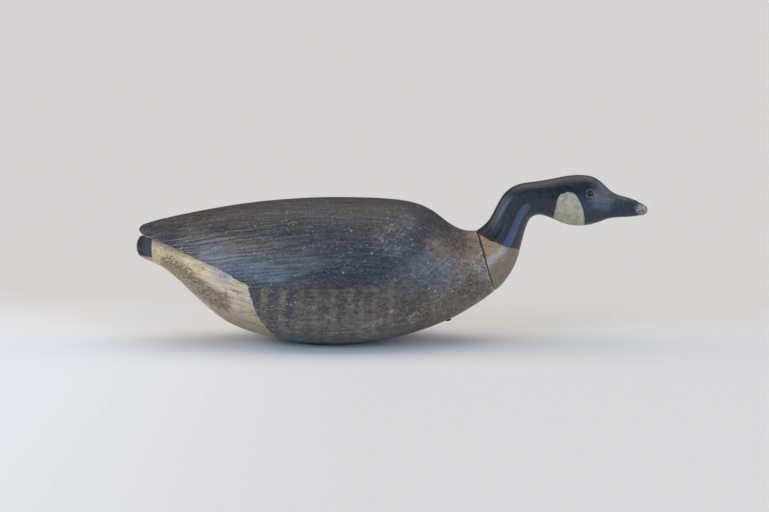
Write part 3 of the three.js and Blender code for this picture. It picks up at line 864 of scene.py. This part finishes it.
    gloss = add(tree, "MapRange", {0: patches, 1: 0.35, 2: 0.65, 3: 0.34, 4: 0.54})
    rough = raised(tree, gloss, [(furrow, 0.15), (tail_end, 0.25)])
    surface(tree, colour, rough, 0.38, [
        (strokes, 0.5), (hairs, 0.3), (specks, 0.2), (blotches, 0.3), (big_chips, -0.2), (pits, -0.3)
    ])
    return material


# Oil paint on white pine, laid on smoothly with a soft brush: near black and satin on the head and
# neck, so that it takes a cool sheen, with a chalky cheek patch and thin, worn colour at the neck's root.
# Painted light in this colour: sheen on the neck's ridge, lore, bill and brow, a highlight on the ridge at
# the neck's root, glints on the eye rings, and painted shade in a band down the neck.
def head_paint():
    material, tree, place = new_material("brushed oil paint on white pine")
    x, y, z = add(tree, "SeparateXYZ", {0: place}).outputs
    (
        along, round_by, black, ridge, cheek, eye, seam,
        ridge_light, nape_light, neck_shade_band, lore_sheen, brow_rub_and_sheen, bill_wear, ridge_highlight_and_wear,
    ) = (add(tree, "Attribute", attribute_name=name).outputs["Fac"] for name in [
        "along", "round_by", "black", "ridge", "cheek", "eye", "seam", *HEAD_PLACES,
    ])
    brushed = add(tree, "CombineXYZ", {0: along, 1: round_by, 2: y})
    clouds = grain(tree, place, (30, 30, 30), 3)
    patches = grain(tree, place, (9, 9, 9), 4, 2.9)
    specks = grain(tree, place, (2.6, 2.6, 2.6), 2, 7.7)
    strokes = grain(tree, brushed, (34, 2.2, 200), 3)
    slanted = add(tree, "Mapping", {"Vector": place, "Rotation": (0, radians(16), 0)})
    hatch = grain(tree, slanted, (24, 20, 1.7), 1, 4.4)
    upright = grain(tree, place, (2.6, 10, 14), 3, 6.1)
    shift = {0: specks.outputs["Color"], 1: (0.003,) * 3, 2: place}
    shaken = add(tree, "VectorMath", shift, operation="MULTIPLY_ADD")
    chips = chipped(tree, shaken, 4.2, 0.25, 0.4)

    (
        streak, mottle, dark_patch, cloudy,
        speckled, dark_speck, hatched, upright_streak,
        eye_dark, bill_sheen,
    ) = (add(tree, "MapRange", {0: tones, 1: low, 2: high}) for tones, low, high in [
        (strokes, 0.46, 0.66), (patches, 0.4, 0.62), (patches, 0.48, 0.34), (clouds, 0.42, 0.62),
        (specks, 0.47, 0.62), (specks, 0.46, 0.34), (hatch, 0.5, 0.64), (upright, 0.45, 0.65),
        (eye, 4.9, 4.2), (x, 0.405, 0.425),
    ])
    (
        is_black, is_cheek, cheek_rim,
        cheek_foot, above_ridge, near_ridge,
        neck_foot, throat, eye_ring,
        seam_dirt, seam_gap, seam_high,
    ) = (ragged_edge(tree, *row) for row in [
        (black, -0.6, 0.6, patches, 3), (cheek, -0.35, 0.35, patches, 1.6), (cheek, 2.6, 0.6, patches, 1.5),
        (z, 0.2, 0.178, clouds, 0.03), (ridge, -1.5, 1.5, specks, 2.4), (ridge, -17, -2, patches, 12),
        (z, 0.1, 0.128, clouds, 0.02), (x, 0.24, 0.258, clouds, 0.03), (eye, 6.8, 5.4, specks, 2.4),
        (seam, 1.4, 0.4, specks, 0.6), (seam, 2.8, 1.7, specks, 0.8), (z, 0.116, 0.128, specks, 0.01),
    ])
    eye_stroke = straight_mark(tree, x, z, *EYE_STROKE)
    mouth_line = straight_mark(tree, x, z, *MOUTH_LINE)

    black_colour = paint_coats(tree, HEAD_BLACK, [
        (HEAD_BLUE, 0.6, streak), (HEAD_BLUE, 0.45, mottle),
        (HEAD_OLIVE, 0.25, cloudy),
        # painted shade: a blacker band down the side of the neck
        (HEAD_BLACK, 0.95, neck_shade_band),
        # painted sheen: cool sheen along the neck's ridge and on the lore
        (HEAD_SHEEN, 0.6, ridge_light), (HEAD_SHEEN, 0.35, ridge_light, streak),
        (HEAD_SHEEN, 0.12, lore_sheen), (HEAD_SHEEN, 0.3, lore_sheen, mottle),
        # painted sheen: streaks of cool sheen along the bill
        (HEAD_SHEEN, 0.35, bill_sheen, streak),
        # partly rubbed paint and partly painted sheen: a grey patch on the brow
        (BROW_RUB_AND_SHEEN, 0.25, brow_rub_and_sheen), (BROW_RUB_AND_SHEEN, 0.4, brow_rub_and_sheen, speckled),
        (HEAD_SHEEN, 0.4, chips), (HEAD_SHEEN, 0.1, speckled),
        (HEAD_BLACK, 0.5, dark_speck),
    ])
    cheek_colour = paint_coats(tree, CHEEK_WHITE, [
        (CHEEK_GREY, 0.45, upright_streak), (CHEEK_GREY, 0.4, cheek_foot),
        (CHEEK_OCHRE, 0.4, cloudy),
        (CHEEK_GREY, 0.4, dark_patch), (CHEEK_GREY, 0.4, dark_speck),
        (CHEEK_PALE, 0.35, mottle), (CHEEK_PALE, 0.3, mottle, speckled),
        (CHEEK_GREY, 0.5, cheek_rim),
    ])
    colour = paint_coats(tree, NECK_BROWN, [
        (NECK_MAUVE, 0.8, near_ridge, neck_foot),
        (NECK_PALE, 0.6, near_ridge, neck_foot, hatched), (NECK_PALE, 0.2, hatched, mottle),
        (NECK_TAN, 0.4, mottle),
        (NECK_BROWN, 0.7, throat),
        (NECK_TAN, 0.95, above_ridge),
        (NECK_OCHRE, 0.6, above_ridge, mottle),
        (NECK_BROWN, 0.5, above_ridge, cloudy),
        (BREAST_DARK, 0.35, dark_patch), (BREAST_DARK, 0.3, dark_speck),
        # partly worn pale paint and partly painted highlight: a pale band along the ridge at the neck's
        # root
        (NECK_PALE, 0.5, chips), (NECK_PALE, 0.6, ridge_highlight_and_wear, speckled),
        (NECK_PALE, 0.35, ridge_highlight_and_wear),
        (black_colour, 1.0, is_black),
        (HEAD_BLACK, 0.7, eye_stroke),
        (BILL_WOOD, 0.5, bill_wear, mottle), (BILL_WOOD, 0.5, bill_wear),
        (BILL_WORN, 0.8, bill_wear, speckled),
        (cheek_colour, 1.0, is_cheek),
        # partly pale flecks and partly painted glints: broken pale arcs on the eye rings
        (RING_FLECK_AND_GLINT, 0.2, eye_ring, speckled), (RING_FLECK_AND_GLINT, 0.7, eye_ring, speckled, mottle),
        (HEAD_BLACK, 0.9, eye_dark), (HEAD_BLACK, 0.7, mouth_line),
        (HEAD_BLACK, 0.9, seam_dirt), (HEAD_BLACK, 0.75, seam_gap, seam_high),
    ])
    satin = add(tree, "MapRange", {0: patches, 1: 0.3, 2: 0.7, 3: 0.45, 4: 0.6})
    rough = raised(tree, satin, [(is_black, -0.18), (is_cheek, 0.25), (nape_light, 0.22), (neck_shade_band, 0.3)])
    surface(tree, colour, rough, 0.6, [(strokes, 0.35), (specks, 0.08), (patches, 0.3), (hatch, 0.1)])
    return material


# Glass bead, moulded and polished: black, with a sharp reflection.
def bead_glass():
    material, tree, place = new_material("black glass bead")
    dust = grain(tree, place, (1.5,) * 3, 2)
    rough = add(tree, "MapRange", {0: dust, 1: 0.4, 2: 0.7, 3: 0.05, 4: 0.2})
    shader = add(tree, "BsdfPrincipled", {"Base Color": linear("#08080a"), "Roughness": rough, "IOR": 1.52})
    add(tree, "OutputMaterial", {"Surface": shader})
    return material


# Cut iron tack: rusted dark brown all over, rough, with a few orange blooms.
def tack_iron():
    material, tree, place = new_material("rusted iron")
    rust = grain(tree, place, (2.5,) * 3, 4)
    bloom = add(tree, "MapRange", {0: rust, 1: 0.48, 2: 0.66})
    colour = paint_coats(tree, IRON_DARK, [(IRON_RUST, 0.8, bloom)])
    rough = add(tree, "MapRange", {0: rust, 1: 0.3, 2: 0.7, 3: 0.55, 4: 0.9})
    surface(tree, colour, rough, 0.4, [(rust, 0.3)], Metallic=0.2)
    return material


body = as_object("painted_body", body_shape(), body_paint())
carve_body(body.data)
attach(body, "root")
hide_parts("body")

head = as_object("painted_head", head_shape(), head_paint())
carve_head(head.data)
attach(head, "root")
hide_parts("head_neck")


def set_along(shape, verts, axis, middle):
    """Turns upright points to lie along an axis, and moves them to its middle."""
    turn = Vector((0, 0, 1)).rotation_difference(axis).to_matrix()
    bmesh.ops.rotate(shape, verts=verts, cent=(0, 0, 0), matrix=turn)
    bmesh.ops.translate(shape, verts=verts, vec=middle)


def turned(profile, axis, foot, steps):
    """A closed shape turned round an axis, from (radius, distance along the axis) in millimetres."""
    shape = bmesh.new()
    rim = [shape.verts.new((radius * MM, 0, out * MM)) for radius, out in profile]
    line = [shape.edges.new(pair) for pair in zip(rim, rim[1:])]
    bmesh.ops.spin(
        shape, geom=rim + line, cent=(0, 0, 0), axis=(0, 0, 1), angle=2 * pi, steps=steps, use_merge=True
    )
    bmesh.ops.remove_doubles(shape, verts=shape.verts, dist=0.01 * MM)
    bmesh.ops.recalc_face_normals(shape, faces=shape.faces)
    set_along(shape, shape.verts, axis, foot)
    return shape


def glass_eye(side, glass):
    """A moulded bead, a little flatter in front than behind, with the fine seam of its mould."""
    centre, radius = eye_ball(side)
    radius /= MM
    profile = []
    for step in range(BEAD_STEPS + 1):
        angle = pi * step / BEAD_STEPS
        seam = BEAD_SEAM * exp(-(((angle - pi / 2) / 0.06) ** 2))
        depth = radius * (BEAD_FLATNESS if angle < pi / 2 else 1)
        profile.append(((radius + seam) * sin(angle), depth * cos(angle)))
    outward = Vector((0.1, copysign(1, centre.y), 0.16)).normalized()
    bead = turned(profile, outward, centre, BEAD_ROUND)
    piece = as_object(f"glass_eye_{side}", bead, glass)
    piece.data.shade_smooth()
    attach(piece, "root")
    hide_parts(f"eye_{side}")


def line_tie_tack(iron):
    """A cut tack: a hammered, domed head on a square shank that tapers to its point."""
    point, axis, length = tack_line()
    crown = point + axis * (length + TACK_PROUD * MM)
    tack = turned(TACK_PROFILE, axis, crown, 32)
    places = np.array([v.co for v in tack.verts])
    blows = random_lumps(places.T / MM, TACK_BLOWS)
    tack.normal_update()
    for vert, blow in zip(tack.verts, blows):
        vert.co += vert.normal * blow * MM
    shank_length = length + (TACK_PROUD - TACK_HEAD) * MM
    shank = bmesh.ops.create_cone(
        tack, cap_ends=True, segments=4, radius1=TACK_TIP * MM, radius2=TACK_SHANK * MM, depth=shank_length
    )
    set_along(tack, shank["verts"], axis, point + axis * shank_length / 2)
    piece = as_object("cut_tack", tack, iron)
    piece.data.shade_smooth()
    piece.data.set_sharp_from_angle(angle=radians(40))
    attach(piece, "root")
    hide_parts("line_tie_tack")


glass = bead_glass()
glass_eye("left", glass)
glass_eye("right", glass)
line_tie_tack(tack_iron())


# Studio
def pale_floor():
    material, tree, place = new_material("pale seamless paper")
    x, y, _ = add(tree, "SeparateXYZ", {0: place}).outputs
    # Painted light on the floor: a painted pool of window light makes it brighter to the left, and painted
    # shade makes it darker and warmer far off
    far = add(tree, "MapRange", {0: y, 1: 0.05, 2: 0.6}, interpolation_type="SMOOTHSTEP")
    left = add(tree, "MapRange", {0: x, 1: 0.06, 2: -0.5}, interpolation_type="SMOOTHSTEP")
    colour = paint_coats(tree, "#e9e8e6", [("#f9fafc", 1.0, left), ("#e5e3df", 1.0, far)])
    shader = add(tree, "BsdfPrincipled", {"Base Color": colour, "Roughness": 0.9})
    add(tree, "OutputMaterial", {"Surface": shader})
    sheet = bmesh.new()
    bmesh.ops.create_grid(sheet, x_segments=1, y_segments=1, size=200)
    bmesh.ops.translate(sheet, verts=sheet.verts, vec=(0, 0, -0.3 * MM))
    return as_object("floor", sheet, material)


pale_floor()

camera = bpy.data.objects.new("camera", bpy.data.cameras.new("camera"))
camera.data.lens = LENS
camera.data.clip_end = 600
tilt = radians(CAMERA_HEIGHT_ANGLE)
camera.location = CAMERA_AIM + CAMERA_DISTANCE * Vector((0, -cos(tilt), sin(tilt)))
camera.rotation_euler = (pi / 2 - tilt, 0, 0)
bpy.context.scene.collection.objects.link(camera)
bpy.context.scene.camera = camera

bpy.context.scene.view_settings.view_transform = "Standard"


def lamp(name, turn, height, spread, strength, colour):
    """A soft light from far off, by its turn from the camera, its height and its breadth in degrees."""
    data = bpy.data.lights.new(name, "SUN")
    data.angle = radians(spread)
    data.energy = strength
    data.color = linear(colour)[:3]
    light = bpy.data.objects.new(name, data)
    turn, height = radians(turn), radians(height)
    toward = Vector((sin(turn) * cos(height), -cos(turn) * cos(height), sin(height)))
    light.location = 3 * toward
    light.rotation_euler = (-toward).to_track_quat("-Z", "Y").to_euler()
    bpy.context.scene.collection.objects.link(light)


lamp("overhead_softbox", 180, 77, 64, 1.22, "#fff2e2")
lamp("left_side", -98, 25, 46, 0.8, "#fff2e2")
lamp("left_window", -50, 19, 40, 1.38, "#b0d2fb")
lamp("left_pane", -42, 22, 9, 0.3, "#dcebff")
lamp("right_side", 98, 25, 46, 0.8, "#fff2e2")
lamp("right_window", 50, 18, 40, 1.26, "#acd0fd")
lamp("right_pane", 38, 14, 9, 0.3, "#dcebff")

world = bpy.data.worlds.new("studio")
world.use_nodes = True
sky = world.node_tree
sky.nodes.clear()
seen = add(sky, "LightPath").outputs["Is Camera Ray"]
backdrop = add(sky, "Background", {"Color": linear("#d8d9d9"), "Strength": 1.0})
fill = add(sky, "Background", {"Color": linear("#eef2f8"), "Strength": 0.14})
shown = add(sky, "MixShader", {0: seen, 1: fill, 2: backdrop})
add(sky, "OutputWorld", {"Surface": shown})
bpy.context.scene.world = world
